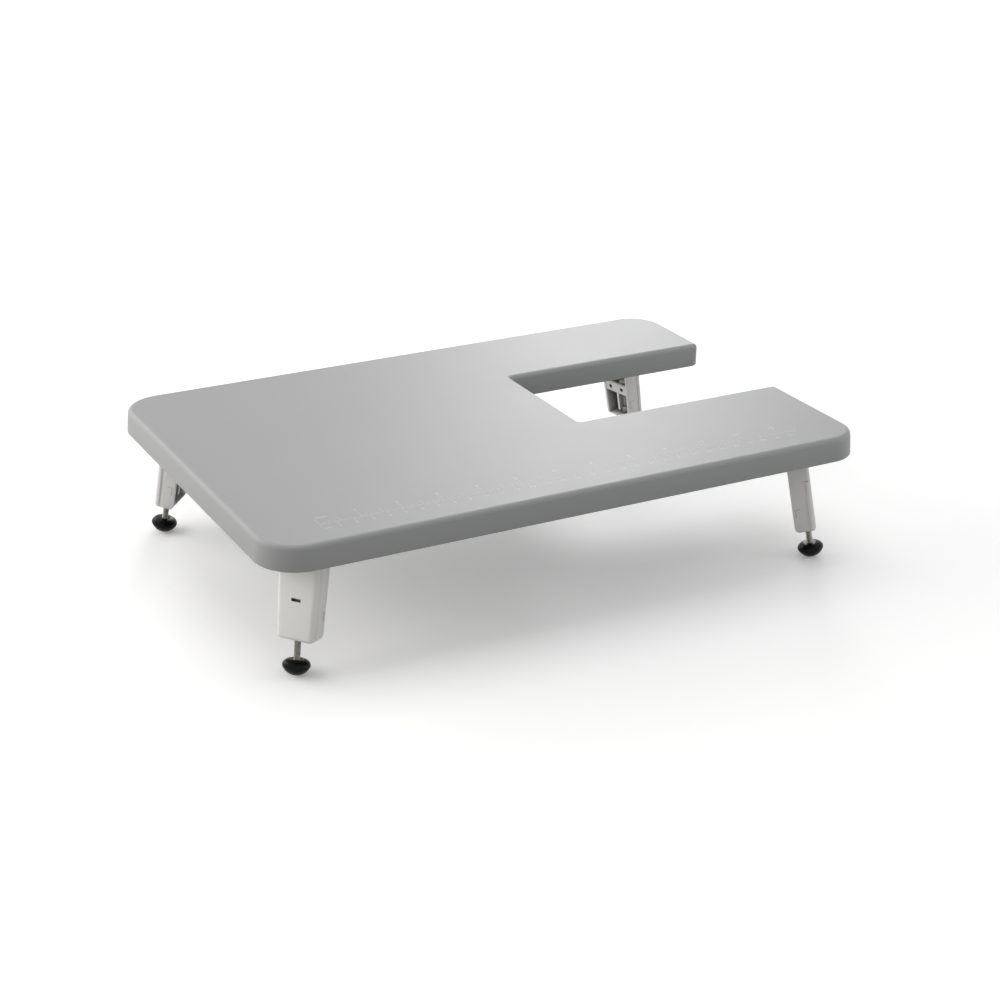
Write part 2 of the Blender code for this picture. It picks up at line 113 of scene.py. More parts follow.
class HingeSizes(bpy.types.PropertyGroup):
    """Sizes of the hinge brackets, their screws and pins."""

    drop: length("Pin drop", 0.0082, "Depth of the pin below the work surface")
    pin: length("Pin", 0.003, "Diameter of the pin")
    barrel: length("Barrel", 0.008, "Diameter of the barrel")
    barrel_length: length("Barrel length", 0.013, "Length of the barrel")
    plate_width: length("Plate width", 0.016, "Width of the bracket's plate")
    plate_wall: length("Plate", 0.0022, "Thickness of the bracket's plate")
    boss_drop: length("Boss height", 0.006, "Height of a screw boss")
    boss: length("Boss", 0.0064, "Diameter of a screw boss")
    near_screw: length("Near screw", 0.0095, "Distance of the near screw from the pin")
    far_screw: length("Far screw", 0.0175, "Distance of the far screw from the pin")
    screw_head: length("Screw head", 0.0056, "Diameter of a screw's head")


class LegSizes(bpy.types.PropertyGroup):
    """Sizes of a channel leg."""

    width_top: length("Width at the pin", 0.027, "Width of the leg at its hinge pin")
    width_end: length("Width at the end", 0.0228, "Width of the leg at its lower end")
    depth: length("Depth", 0.0134, "Depth of the leg from its outer face to its open side")
    wall: length("Wall", 0.002, "Thickness of the walls")
    floor: length("Floor", 0.0032, "Thickness of the lower end")
    edge_round: length("Edge round", 0.0028, "Rounding of the outer edges")
    end_round: length("Inner end round", 0.0045, "Rounding of the cheeks' inner end corners")
    end: length("End", 0.05942, "Distance of the lower end from the pin")
    stop: length("Stop", 0.0039, "Height of the outer wall above the pin")
    stud_offset: length("Stud offset", 0.0034, "Distance of the stud's axis from the pin")
    stud_to_face: length("Stud to face", 0.0052, "Distance of the stud's axis from the outer face")


class FootSizes(bpy.types.PropertyGroup):
    """Sizes of a screw foot."""

    pad: length("Pad", 0.0163, "Diameter of the pad")
    dome: length("Dome", 0.0058, "Depth of the dome below the rim")
    shoulder: length("Shoulder", 0.0036, "Height of the shoulder above the rim")
    collar: length("Collar", 0.006, "Diameter of the flat collar round the stud")
    stud: length("Stud", 0.0039, "Outer diameter of the thread")
    pitch: length("Pitch", 0.0007, "Pitch of the thread")
    show: length("Stud showing", 0.0113, "Length of stud between the pad and the leg")
    stud_in_leg: length("Stud in the leg", 0.011, "Length of stud above the leg's lower end")


class RulerSizes(bpy.types.PropertyGroup):
    """Sizes of the printed ruler."""

    zero: length("Zero", 0.0382, "Distance of zero from the left edge")
    base: length("Base line", 0.0238, "Distance of the base line from the front edge")
    stroke: length("Stroke", 0.00026, "Width of the long ticks")
    digits: length("Digits", 0.0033, "Height of the digits")


class Finishes(bpy.types.PropertyGroup):
    """Colours of the table's finishes."""

    top: colour("Top", "#979898", "Moulded top")
    leg: colour("Leg", "#F1F0ED", "Moulded legs")
    bracket: colour("Bracket", "#C9C8C5", "Hinge brackets")
    pad: colour("Foot", "#0B0B0C", "Feet")
    zinc: colour("Zinc plate", "#98948D", "Studs, nuts and screws")
    pin: colour("Pin", "#BDBDBE", "Hinge pins")
    ink: colour("Ink", "#C0C2C3", "Print of the ruler")


class TableSettings(bpy.types.PropertyGroup):
    """Everything that a user may change."""

    top: PointerProperty(type=TopSizes)
    hinge: PointerProperty(type=HingeSizes)
    leg: PointerProperty(type=LegSizes)
    foot: PointerProperty(type=FootSizes)
    ruler: PointerProperty(type=RulerSizes)
    finish: PointerProperty(type=Finishes)


def settings():
    """The table's settings in this scene."""
    return bpy.context.scene.extension_table


# Finishes

TONE_SPREAD = 0.25
CLOUD_DETAIL = 3.0
FINE_DETAIL = 2.0
GLOSS_NOISE = (0.3, 0.7)
# Painted shade in hollows: how open a place must be to escape it, and how many rays measure that.
PAINTED_SHADE_OPEN = (0.1, 0.75)
PAINTED_SHADE_SAMPLES = 8


def add(tree, kind, inputs=None, **values):
    """Add a node with its settings, and set or link its inputs."""
    node = tree.nodes.new(kind)
    for name, value in values.items():
        setattr(node, name, value)
    for name, value in (inputs or {}).items():
        if isinstance(value, bpy.types.NodeSocket):
            tree.links.new(value, node.inputs[name])
        else:
            node.inputs[name].default_value = value
    return node


def coat(name, base, roughness, ior=None, metallic=0.0, cloud=(0.06, 0.015), uneven=(0.01, 0.04),
         grain=(0.0009, 0.000012), painted_shade_reach=0.0):
    """A finish: base colour with soft clouds, uneven gloss and a fine grain.

    Each pair is a real size in metres and how strongly it shows. Hollows narrower than the length
    given for the shade are darkened with painted shade, by how closed in each place is on the piece
    itself.
    """
    found = bpy.data.materials.get(name)
    if found:
        return found
    made = bpy.data.materials.new(name)
    made.use_nodes = True
    tree = made.node_tree
    shader = tree.nodes["Principled BSDF"]
    shader.inputs["Metallic"].default_value = metallic
    if ior:
        shader.inputs["IOR"].default_value = ior
    place = add(tree, "ShaderNodeTexCoord").outputs["Object"]
    clouds = add(tree, "ShaderNodeTexNoise",
                 {"Vector": place, "Scale": 1 / cloud[0], "Detail": CLOUD_DETAIL})
    tones = add(tree, "ShaderNodeValToRGB", {"Fac": clouds.outputs["Fac"]})
    for stop, side in zip(tones.color_ramp.elements, (-1, 1)):
        stop.position = 0.5 + side * TONE_SPREAD
        stop.color = [min(1.0, c * (1 + side * cloud[1])) for c in base] + [1.0]
    shown = tones.outputs["Color"]
    # Painted shade: ambient occlusion of the piece itself darkens the base colour in narrow
    # hollows.
    if painted_shade_reach:
        room = add(tree, "ShaderNodeAmbientOcclusion", {"Distance": painted_shade_reach},
                   samples=PAINTED_SHADE_SAMPLES, only_local=True)
        shade = add(tree, "ShaderNodeMapRange", {"Value": room.outputs["AO"],
                                                 "From Min": PAINTED_SHADE_OPEN[0],
                                                 "From Max": PAINTED_SHADE_OPEN[1]})
        shown = add(tree, "ShaderNodeVectorMath", {0: shown, 1: shade.outputs["Result"]},
                    operation="MULTIPLY").outputs["Vector"]
    tree.links.new(shown, shader.inputs["Base Color"])
    patches = add(tree, "ShaderNodeTexNoise",
                  {"Vector": place, "Scale": 1 / uneven[0], "Detail": FINE_DETAIL})
    gloss = add(tree, "ShaderNodeMapRange", {"Value": patches.outputs["Fac"],
                                             "From Min": GLOSS_NOISE[0], "From Max": GLOSS_NOISE[1],
                                             "To Min": roughness - uneven[1],
                                             "To Max": roughness + uneven[1]})
    tree.links.new(gloss.outputs["Result"], shader.inputs["Roughness"])
    grit = add(tree, "ShaderNodeTexNoise",
               {"Vector": place, "Scale": 1 / grain[0], "Detail": FINE_DETAIL})
    relief = add(tree, "ShaderNodeBump", {"Height": grit.outputs["Fac"], "Distance": grain[1],
                                          "Strength": 1.0})
    tree.links.new(relief.outputs["Normal"], shader.inputs["Normal"])
    return made


def top_abs():
    """Injection moulded ABS from a finely etched mould."""
    # The etched grain gives a wide satin sheen and no sharp reflection. The real grain is about
    # 0.1 mm; it is drawn at 0.9 mm, because a finer one doesn't show in the render.
    return coat("satin_abs_light_grey", settings().finish.top, roughness=0.46, ior=1.54,
                cloud=(0.08, 0.012), uneven=(0.02, 0.008), grain=(0.0009, 0.000008))


def leg_abs():
    """Injection moulded ABS from a smoother mould than the top's."""
    # A little glossier than the top, with soft clouds where the melt met.
    # Painted shade darkens the hollows of the legs: the inside of the channel, the face slot and
    # the grooves.
    return coat("smooth_abs_pale_grey", settings().finish.leg, roughness=0.34, ior=1.54,
                cloud=(0.025, 0.012), grain=(0.0012, 0.000006), painted_shade_reach=0.012)


def bracket_nylon():
    """Moulded nylon, as used for a bearing."""
    # Waxy and dull, so it takes broad soft highlights.
    return coat("grey_nylon", settings().finish.bracket, roughness=0.48, ior=1.53,
                cloud=(0.008, 0.02), grain=(0.0007, 0.00001))


def pad_plastic():
    """Moulded polypropylene with a polished skin."""
    # Deep black that shows the room in small bright patches. An IOR below polypropylene's 1.49
    # keeps the white room from greying the whole dome.
    return coat("glossy_black_polypropylene", settings().finish.pad, roughness=0.28, ior=1.22,
                cloud=(0.006, 0.05), uneven=(0.003, 0.03), grain=(0.0016, 0.000004))


def zinc_plate():
    """Zinc plated steel."""
    # A warm grey metal with a slightly milky skin, finer than a turned surface.
    return coat("zinc_plated_steel", settings().finish.zinc, roughness=0.30, metallic=1.0,
                cloud=(0.004, 0.06), uneven=(0.002, 0.06), grain=(0.0005, 0.000004))


def pin_steel():
    """Ground steel rod."""
    # Bright and even, with a faint waviness from grinding.
    return coat("ground_steel", settings().finish.pin, roughness=0.24, metallic=1.0,
                cloud=(0.003, 0.04), uneven=(0.001, 0.05), grain=(0.0006, 0.000003))


def ruler_ink():
    """Pad printed ink."""
    # A thin matt film, a little broken up where it lies on the etched grain.
    return coat("white_print_ink", settings().finish.ink, roughness=0.55, ior=1.5,
                cloud=(0.0015, 0.05), grain=(0.0008, 0.000004))


# Shapes

ROUND_SEGMENTS = 40


def to_object(name, mesh):
    """An object of a mesh, text, lamp or camera, put in the scene."""
    made = bpy.data.objects.new(name, mesh)
    bpy.context.scene.collection.objects.link(made)
    return made


def placed(name, mesh, place):
    """A copy of a mesh as an object, put in its place for good."""
    copy = mesh.copy()
    copy.name = name
    copy.transform(place)
    return to_object(name, copy)


def closed(name, bm, angle=SMOOTH_ANGLE):
    """Turn a closed bmesh into a mesh, smooth but for its sharp edges."""
    bmesh.ops.recalc_face_normals(bm, faces=bm.faces)
    mesh = bpy.data.meshes.new(name)
    bm.to_mesh(mesh)
    bm.free()
    mesh.shade_smooth()
    mesh.set_sharp_from_angle(angle=angle)
    return mesh


def dress(made, finish, body, slot_name, *nodes):
    """Give a piece its finish and its body, and hide the solids that it stands for. The slot name
    is not used.
    """
    made.data.materials.clear()
    made.data.materials.append(finish)
    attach(made, body)
    if nodes:
        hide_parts(*nodes)
    return made


def loft(bm, rings, cap_first=True, cap_last=True):
    """Skin a row of rings that have the same number of points."""
    rows = [[bm.verts.new(point) for point in ring] for ring in rings]
    count = len(rows[0])
    for upper, lower in zip(rows, rows[1:]):
        for i in range(count):
            j = (i + 1) % count
            bm.faces.new((upper[i], upper[j], lower[j], lower[i]))
    if cap_first:
        bm.faces.new(rows[0])
    if cap_last:
        bm.faces.new(rows[-1])


def lathe(bm, profile, segments=48, centre=(0, 0, 0)):
    """Turn a profile of radius and height round Z. A radius of zero closes an end."""
    middle = Vector(centre)
    rows = []
    for radius, height in profile:
        if radius == 0:
            rows.append([bm.verts.new(middle + Vector((0, 0, height)))])
        else:
            turn = (2 * pi * i / segments for i in range(segments))
            rows.append([bm.verts.new(middle + Vector((radius * cos(a), radius * sin(a), height)))
                         for a in turn])
    for upper, lower in zip(rows, rows[1:]):
        for i in range(segments):
            j = (i + 1) % segments
            if len(upper) == 1:
                bm.faces.new((upper[0], lower[j], lower[i]))
            elif len(lower) == 1:
                bm.faces.new((upper[i], upper[j], lower[0]))
            else:
                bm.faces.new((upper[i], upper[j], lower[j], lower[i]))


def add_block(bm, low, high):
    """Add a box between two corners."""
    made = bmesh.ops.create_cube(bm, size=1.0)["verts"]
    for vert in made:
        vert.co = [high[i] if vert.co[i] > 0 else low[i] for i in range(3)]


def block(name, low, high, half_width=None):
    """A box as an object for cutting or joining. With half_width, x counts from the cheek."""
    bm = bmesh.new()
    add_block(bm, low, high)
    if half_width:
        for vert in bm.verts:
            side = 1 if vert.co.x > 0 else -1
            vert.co.x += side * half_width(vert.co.z)
    return to_object(name, closed(name, bm))


def rod(name, radius, low, high, centre=(0, 0, 0), along="Z", segments=ROUND_SEGMENTS):
    """A cylinder as an object for cutting or joining."""
    bm = bmesh.new()
    turn = Matrix.Rotation(pi / 2, 4, "Y") if along == "X" else Matrix.Identity(4)
    middle = Matrix.Translation((0, 0, (low + high) / 2))
    bmesh.ops.create_cone(bm, cap_ends=True, segments=segments, radius1=radius, radius2=radius,
                          depth=high - low, matrix=Matrix.Translation(centre) @ turn @ middle)
    return to_object(name, closed(name, bm))


class Workpiece:
    """A solid in the making: joined with and cut by others, softened, then settled."""

    def __init__(self, made):
        self.made = made
        self.tools = []

    def combine(self, other, operation):
        """Join with or cut by another solid."""
        step = self.made.modifiers.new(other.name, "BOOLEAN")
        step.operation = operation
        step.object = other
        step.solver = "EXACT"
        self.tools.append(other)

    def join(self, other):
        """Join another solid to it."""
        self.combine(other, "UNION")

    def cut(self, other):
        """Take another solid out of it."""
        self.combine(other, "DIFFERENCE")

    def soften(self, width, segments=2):
        """Break the edges that are sharp so far."""
        step = self.made.modifiers.new("edges", "BEVEL")
        step.width = width
        step.segments = segments
        step.limit_method = "ANGLE"
        step.angle_limit = BREAK_ANGLE

    def settle(self, name):
        """The finished mesh. The tools are put away."""
        bpy.context.view_layer.update()
        graph = bpy.context.evaluated_depsgraph_get()
        mesh = bpy.data.meshes.new_from_object(self.made.evaluated_get(graph))
        for used in [self.made, *self.tools]:
            bpy.data.objects.remove(used, do_unlink=True)
        bm = bmesh.new()
        bm.from_mesh(mesh)
        bpy.data.meshes.remove(mesh)
        bmesh.ops.dissolve_degenerate(bm, edges=bm.edges, dist=SLIVER)
        return closed(name, bm)


def corner_frames(corner):
    """Frames of the hinge and of the leg at a corner, both on the hinge pin.

    X runs along the pin, Y inwards and Z up: upright for the hinge, along the stud for the leg.
    """
    side = CORNERS[corner]
    pin = Vector(JOINTS[f"{side}_fold"]["axis"]).normalized()
    stud = Vector(JOINTS[f"{side}_screw"]["axis"]).normalized()
    place = Matrix.Translation(JOINTS[f"{side}_fold"]["pos_m"])
    frames = []
    for up in (Vector((0, 0, 1)), stud):
        turn = Matrix((pin, up.cross(pin), up)).transposed()
        frames.append(place @ turn.to_4x4())
    return frames


def foot_frame(corner):
    """Frame of a screw foot: on the stud's axis, at the height of the pad's rim."""
    side = CORNERS[corner]
    leg = corner_frames(corner)[1]
    leg.translation = JOINTS[f"{side}_turn"]["pos_m"]
    return leg


# The moulded top

TOP_SMOOTH = radians(50)
MOUTH_FLARE = 0.2
CORNER_STEPS = 16
EDGE_STEPS = 7
EDGE_LOOP = 0.0002
LIP_ROUND = 0.0005
LIP_SHARES = (0.0, 0.3, 0.7, 1.0)
FILLET = 0.0008
FILLET_SHARES = (0.0, 0.35, 0.7, 1.0)
FILLET_MIDDLE = 0.3
BOSS_EMBED = 0.0006
BOSS_BREAK = 0.0003
BOSS_SEGMENTS = 32
SCREW_HOLE = 0.0031
HOLE_RECESS = 0.0009


def outline(grow, depth):
    """The top's outline at a depth below its surface, grown outwards from the surface's edge."""
    size = settings().top
    right = size.length / 2 + grow
    back = size.width / 2 + grow
    front_y = -size.width / 2 + size.front_arm
    back_y = front_y + size.notch_width - grow
    notch_x = size.length / 2 - size.notch_length + grow
    front_y += grow
    least = size.edge_round / 4
    mouth = max(size.mouth_round + MOUTH_FLARE * depth + grow, least)
    inner = max(size.notch_round - grow, least)
    corners = [
        (-right, -back, size.left_round + grow), (right, -back, size.right_round + grow),
        (right, front_y, mouth), (notch_x, front_y, inner),
        (notch_x, back_y, inner), (right, back_y, mouth),
        (right, back, size.right_round + grow), (-right, back, size.left_round + grow),
    ]
    places = [Vector((x, y, 0)) for x, y, radius in corners]
    points = []
    for i, (x, y, radius) in enumerate(corners):
        come = (places[i - 1] - places[i]).normalized()
        leave = (places[(i + 1) % len(places)] - places[i]).normalized()
        centre = places[i] + radius * (come + leave)
        for step in range(CORNER_STEPS + 1):
            angle = pi / 2 * step / CORNER_STEPS
            point = centre - radius * (leave * cos(angle) + come * sin(angle))
            points.append(Vector((point.x, point.y, SURFACE - depth)))
    return points


def top_rings():
    """Rings of the top from its surface, over the edge, down the skirt and up its inside."""
    size = settings().top
    slope = tan(size.draft)
    rings = [(-size.edge_round - EDGE_LOOP, 0.0)]
    for i in range(EDGE_STEPS + 1):
        angle = (pi / 2 - size.draft) * i / EDGE_STEPS
        grow = size.edge_round * (slope * i / EDGE_STEPS - (1 - sin(angle)))
        rings.append((grow, size.edge_round * (1 - cos(angle))))
    outer = size.skirt * slope
    inner = -size.skirt_wall + outer
    for share in LIP_SHARES:
        angle = pi / 2 * share
        rings.append((outer - LIP_ROUND * (1 - cos(angle)),
                      size.skirt - LIP_ROUND * (1 - sin(angle))))
    for share in reversed(LIP_SHARES):
        angle = pi / 2 * share
        rings.append((inner + LIP_ROUND * (1 - cos(angle)),
                      size.skirt - LIP_ROUND * (1 - sin(angle))))
    under = -size.skirt_wall + size.wall * slope
    for share in FILLET_SHARES:
        angle = pi / 2 * share
        rings.append((under - FILLET * (1 - cos(angle)), size.wall + FILLET * (1 - sin(angle))))
    rings.append((under - FILLET - EDGE_LOOP, size.wall))
    return [outline(grow, depth) for grow, depth in rings]


def add_bosses(bm):
    """Two screw bosses under the top at each corner."""
    size = settings().top
    hinge = settings().hinge
    for corner in CORNERS:
        place = corner_frames(corner)[0]
        for reach in (hinge.near_screw, hinge.far_screw):
            spot = place @ Vector((0, reach, 0))
            under = SURFACE - size.wall
            low = under - hinge.boss_drop
            radius = hinge.boss / 2
            lathe(bm, [
                (0, under + BOSS_EMBED), (radius + FILLET, under + BOSS_EMBED),
                (radius + FILLET, under),
                (radius + FILLET * FILLET_MIDDLE, under - FILLET * FILLET_MIDDLE),
                (radius, under - FILLET), (radius, low + BOSS_BREAK), (radius - BOSS_BREAK, low),
                (SCREW_HOLE / 2, low), (SCREW_HOLE / 2, under - HOLE_RECESS),
                (0, under - HOLE_RECESS),
            ], BOSS_SEGMENTS, (spot.x, spot.y, 0))


class TABLE_OT_top(bpy.types.Operator):
    """Build the moulded top with its skirt, notch and screw bosses"""

    bl_idname = "extension_table.top"
    bl_label = "Moulded top"

    def execute(self, context):
        bm = bmesh.new()
        loft(bm, top_rings())
        add_bosses(bm)
        made = to_object("moulded_top", closed("moulded_top", bm, TOP_SMOOTH))
        dress(made, top_abs(), "table", "top_plastic", "table_top")
        return {"FINISHED"}


# The printed ruler

INK = 0.00002
INK_SINK = 0.00001
INCH = 0.0254
INCHES = 12.5
INCH_PARTS = 8
CENTIMETRE = 0.01
CENTIMETRES = 31.5
CM_PARTS = 10
INCH_TICKS = {8: 0.0066, 4: 0.0052, 2: 0.0034, 1: 0.0021}
CM_TICKS = {10: 0.0034, 5: 0.0025, 1: 0.0013}
FINE_STROKE = 0.6
INCH_DIGITS_UP = 0.0092
CM_DIGITS_DOWN = 0.0060
CM_DIGITS = 0.85
CAP_SHARE = 0.7
UNIT_SIZE = 0.0031
UNIT_SHIFT = 0.0009
WELD = 1e-7
ZERO_REACH = (-0.0034, 0.0084)


def ruler_ticks():
    """Every tick as its place along the ruler, its reach across it and its width."""
    size = settings().ruler
    for i in range(1, int(INCHES * INCH_PARTS) + 1):
        step = next(s for s in INCH_TICKS if i % s == 0)
        width = size.stroke if step > 2 else size.stroke * FINE_STROKE
        yield i * INCH / INCH_PARTS, (0.0, INCH_TICKS[step]), width
    for i in range(1, int(CENTIMETRES * CM_PARTS) + 1):
        step = next(s for s in CM_TICKS if i % s == 0)
        width = size.stroke if step > 1 else size.stroke * FINE_STROKE
        yield i * CENTIMETRE / CM_PARTS, (-CM_TICKS[step], 0.0), width


def add_words(bm, words, spot, height, align="CENTER"):
    """Add a number or unit as flat print, its middle at a spot."""
    curve = bpy.data.curves.new("print", "FONT")
    curve.body = words
    curve.size = height / CAP_SHARE
    curve.align_x = align
    curve.align_y = "CENTER"
    curve.extrude = (INK + INK_SINK) / 2
    made = to_object("print", curve)
    bpy.context.view_layer.update()
    graph = bpy.context.evaluated_depsgraph_get()
    mesh = bpy.data.meshes.new_from_object(made.evaluated_get(graph))
    mesh.transform(Matrix.Translation((*spot, SURFACE + (INK - INK_SINK) / 2)))
    bm.from_mesh(mesh)
    bpy.data.objects.remove(made, do_unlink=True)
    bpy.data.curves.remove(curve)
    bpy.data.meshes.remove(mesh)


class TABLE_OT_ruler(bpy.types.Operator):
    """Print the ruler in inches and centimetres along the front of the top"""

    bl_idname = "extension_table.ruler"
    bl_label = "Printed ruler"

    def execute(self, context):
        size = settings().ruler
        x = -settings().top.length / 2 + size.zero
        y = -settings().top.width / 2 + size.base
        low, high = SURFACE - INK_SINK, SURFACE + INK
        half = size.stroke / 2
        bm = bmesh.new()
        add_block(bm, (x - half, y - half, low), (x + INCHES * INCH + half, y + half, high))
        add_block(bm, (x - half, y + ZERO_REACH[0], low), (x + half, y + ZERO_REACH[1], high))
        for along, (near, far), width in ruler_ticks():
            left = x + along - width / 2
            add_block(bm, (left, y + near, low), (left + width, y + far, high))
        for i in range(1, int(INCHES) + 1):
            add_words(bm, str(i), (x + i * INCH, y + INCH_DIGITS_UP), size.digits)
        for i in range(1, int(CENTIMETRES) + 1):
            add_words(bm, str(i), (x + i * CENTIMETRE, y - CM_DIGITS_DOWN), size.digits * CM_DIGITS)
        add_words(bm, "inch", (x + UNIT_SHIFT, y + INCH_DIGITS_UP), UNIT_SIZE, "LEFT")
        add_words(bm, "cm", (x + UNIT_SHIFT / 2, y - CM_DIGITS_DOWN), UNIT_SIZE * CM_DIGITS, "LEFT")
        bmesh.ops.remove_doubles(bm, verts=bm.verts, dist=WELD)
        made = to_object("ruler_print", closed("ruler_print", bm))
        dress(made, ruler_ink(), "table", None)
        return {"FINISHED"}


# Hinges

EDGE_BREAK = 0.0003
PLATE_MARGIN = 0.004
SEAT_GAP = 0.0003
PIN_GAP = 0.00025
PIN_INSET = 0.0003
HOLE_SEGMENTS = 24
SCREW_SEGMENTS = 36
SCREW_SHANK = 0.0025
SCREW_POINT = 0.45
SCREW_TIP_GAP = 0.0004
HEAD_HEIGHT = 0.0018
HEAD_STEPS = 8
HEAD_CROWN = 0.35
HEAD_FLAT = 0.6
HAIR = 1e-5
CROSS_WIDTH = 0.0008
CROSS_LENGTH = 0.0032
CROSS_DEPTH = 0.0009


def plate_levels():
    """Upper and lower face of a bracket's plate, counted from the pin."""
    hinge = settings().hinge
    upper = hinge.drop - settings().top.wall - hinge.boss_drop - SEAT_GAP
    return upper, upper - hinge.plate_wall


def bracket_mesh():
    """The hinge bracket: a plate with a barrel on its outer end, and two screw holes."""
    hinge = settings().hinge
    upper, lower = plate_levels()
    end = hinge.far_screw + PLATE_MARGIN
    work = Workpiece(block("bracket", (-hinge.plate_width / 2, 0.0, lower),
                           (hinge.plate_width / 2, end, upper)))
    half = hinge.barrel_length / 2
    work.join(rod("barrel", hinge.barrel / 2, -half, half, along="X"))
    work.soften(EDGE_BREAK)
    reach = hinge.plate_width / 2 + CUT
    work.cut(rod("pin_bore", hinge.pin / 2 + PIN_GAP, -reach, reach, along="X"))
    for i, away in enumerate((hinge.near_screw, hinge.far_screw)):
        work.cut(rod(f"screw_hole_{i}", SCREW_HOLE / 2, lower - CUT, upper + CUT, (0, away, 0),
                     segments=HOLE_SEGMENTS))
    return work.settle("hinge_bracket")


def screw_mesh():
    """A pan head screw, point up, with a cross in its head."""
    hinge = settings().hinge
    under = plate_levels()[1] - SEAT_GAP
    tip = hinge.drop - settings().top.wall - HOLE_RECESS - SCREW_TIP_GAP
    shank, head = SCREW_SHANK / 2, hinge.screw_head / 2
    rim = under - EDGE_BREAK / 2
    low = under - HEAD_HEIGHT
    profile = [(0, tip), (shank * SCREW_POINT, tip), (shank, tip - shank), (shank, under),
               (head - EDGE_BREAK / 2, under), (head, rim)]
    for i in range(1, HEAD_STEPS):
        angle = pi / 2 * i / HEAD_STEPS
        profile.append((head * (1 - HEAD_CROWN * (1 - cos(angle))), rim - (rim - low) * sin(angle)))
    profile += [(head * HEAD_FLAT, low), (0, low)]
    bm = bmesh.new()
    lathe(bm, profile, SCREW_SEGMENTS)
    work = Workpiece(to_object("screw", closed("screw", bm)))
    for i, (x, y) in enumerate(((CROSS_LENGTH, CROSS_WIDTH), (CROSS_WIDTH, CROSS_LENGTH))):
        work.cut(block(f"cross_{i}", (-x / 2, -y / 2, low - CUT),
                       (x / 2, y / 2, low + CROSS_DEPTH - i * HAIR)))
    return work.settle("bracket_screw")


def pin_mesh():
    """The hinge pin with its ends broken."""
    half = settings().leg.width_top / 2 - PIN_INSET
    radius = settings().hinge.pin / 2
    bm = bmesh.new()
    lathe(bm, [(0, half), (radius - EDGE_BREAK, half), (radius, half - EDGE_BREAK),
               (radius, EDGE_BREAK - half), (radius - EDGE_BREAK, -half), (0, -half)],
          ROUND_SEGMENTS)
    bmesh.ops.rotate(bm, verts=bm.verts, matrix=Matrix.Rotation(pi / 2, 3, "Y"))
    return closed("hinge_pin", bm)


class TABLE_OT_hinges(bpy.types.Operator):
    """Build the brackets, pins and screws of the four hinges"""

    bl_idname = "extension_table.hinges"
    bl_label = "Hinges"

    def execute(self, context):
        hinge = settings().hinge
        bracket, pin, screw = bracket_mesh(), pin_mesh(), screw_mesh()
        for corner in CORNERS:
            place = corner_frames(corner)[0]
            made = placed(f"bracket_{corner}", bracket, place)
            dress(made, bracket_nylon(), "table", "bracket_plastic", f"hinge_bracket_{corner}")
            made = placed(f"pin_{corner}", pin, place)
            dress(made, pin_steel(), "table", "pin_steel", f"hinge_pin_{corner}")
            for i, away in enumerate((hinge.near_screw, hinge.far_screw), 1):
                spot = place @ Matrix.Translation((0, away, 0))
                made = placed(f"screw_{corner}_{i}", screw, spot)
                dress(made, zinc_plate(), "table", "screw_steel", f"bracket_screw_{corner}_{i}")
        return {"FINISHED"}


# Legs

STOP_GAP = 0.0003
LEG_BREAK = 0.00035
BAND = {"up": 0.0215, "height": 0.007, "wall": 0.0018, "window": 0.0026, "spacing": 0.0112}
SLOT = {"length": 0.0059, "height": 0.0019, "up": 0.0241, "back": 0.0055}
NUT_BOSS = {"diameter": 0.0098, "height": 0.009}
COLUMN = {"diameter": 0.007, "bore": 0.0202}
RIB_WALL = 0.0018
GROOVE = {"from_face": 0.0033, "width": 0.0024, "depth": 0.0006, "slope": 0.0005,
          "below_pin": 0.004, "step_up": 0.036, "step": 0.0009, "step_depth": 0.00054}
MARK = {"up": 0.0166, "length": 0.0036, "drop": 0.005, "from_edge": 0.0012, "width": 0.0005,
        "depth": 0.00022, "hook_depth": 0.000264}
NUT = {"flats": 0.007, "height": 0.0032, "up": 0.0038}
STUD_GAP = 0.0003
KNUCKLE_STEPS = 16
ROUND_STEPS = 7
END_STEPS = 10
TINY = 1e-6
THIN = 1e-9


def half_width(z):
    """Half the leg's width at a height along it, counted from the pin."""
    leg = settings().leg
    return (leg.width_top + (leg.width_end - leg.width_top) * z / -leg.end) / 2


def leg_faces():
    """Places of a leg's outer face, open edge and lower end in its frame."""
    leg = settings().leg
    face = -leg.stud_offset - leg.stud_to_face
    return face, face + leg.depth, -leg.end


def leg_body():
    """The leg's outer body: its side outline drawn across, tapered, with rounded edges."""
    leg = settings().leg
    face, edge, end = leg_faces()
    side = [(face, end), (edge, end)]
    turn = [pi / 2 * i / KNUCKLE_STEPS for i in range(KNUCKLE_STEPS + 1)]
    side += [(edge * cos(angle), edge * sin(angle)) for angle in turn]
    side += [(face + leg.wall, leg.stop), (face, leg.stop)]
    bm = bmesh.new()
    cheek = bm.faces.new([bm.verts.new((-half_width(z), y, z)) for y, z in side])
    drawn = bmesh.ops.extrude_face_region(bm, geom=[cheek], use_keep_orig=True)["geom"]
    for item in drawn:
        if isinstance(item, bmesh.types.BMVert):
            item.co.x = -item.co.x
    rounded = []
    for item in bm.edges:
        a, b = (vert.co for vert in item.verts)
        at_end = abs(a.z - end) < TINY and abs(b.z - end) < TINY
        on_face = abs(a.y - face) < TINY and abs(b.y - face) < TINY and a.x * b.x > 0
        if at_end or on_face:
            rounded.append(item)
    bmesh.ops.bevel(bm, geom=rounded, offset=leg.edge_round, offset_type="OFFSET",
                    segments=ROUND_STEPS, profile=0.5, affect="EDGES", clamp_overlap=False)
    return to_object("leg_body", closed("leg_body", bm))


